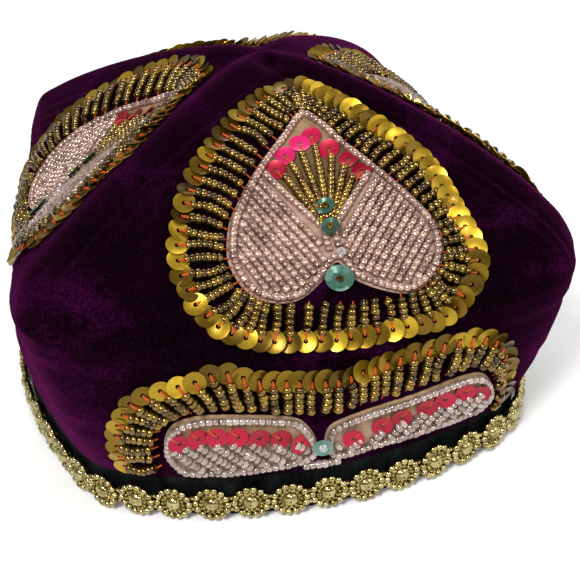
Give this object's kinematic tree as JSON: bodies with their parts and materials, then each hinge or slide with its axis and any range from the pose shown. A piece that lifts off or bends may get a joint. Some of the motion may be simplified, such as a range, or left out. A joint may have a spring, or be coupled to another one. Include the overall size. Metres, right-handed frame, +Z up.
{
  "type": "pillbox hat",
  "caption": "Soft velvet pillbox hat with a pointed panelled crown, beaded hearts with gold sequin fringes and a gilt rosette trim; worn on the head and stored on its rim.",
  "frame": {"origin": "under the middle of the hat's box, on the surface that its rim rests on", "axes": "+Z up through the crown, the hat's front faces -Y"},
  "size_m": [0.18, 0.2066, 0.1112],
  "materials": {
    "velvet": "dark purple cotton velvet, quilted along the crown's seams",
    "black_velvet": "black velvet strip",
    "heart_beads": "clear pink glass seed beads in rows",
    "gold_beadwork": "gold seed beads and flat metallised sequins",
    "cup_sequin": "pale green translucent sequins",
    "gilt_trim": "pale gilt, domed and beaded"
  },
  "bodies": {
    "root": {"gore_front": "velvet", "gore_right": "velvet", "gore_back": "velvet", "gore_left": "velvet", "side_band": "velvet", "rim_band": "black_velvet", "rosette_trim": "gilt_trim", "front_heart": "heart_beads", "front_fringe": "gold_beadwork", "front_cup": "cup_sequin", "right_heart": "heart_beads", "right_fringe": "gold_beadwork", "right_cup": "cup_sequin", "back_heart": "heart_beads", "back_fringe": "gold_beadwork", "back_cup": "cup_sequin", "left_heart": "heart_beads", "left_fringe": "gold_beadwork", "left_cup": "cup_sequin", "brow_leaf_left": "heart_beads", "brow_leaf_right": "heart_beads", "brow_fringe": "gold_beadwork", "brow_cup": "cup_sequin"}
  },
  "joints": []
}
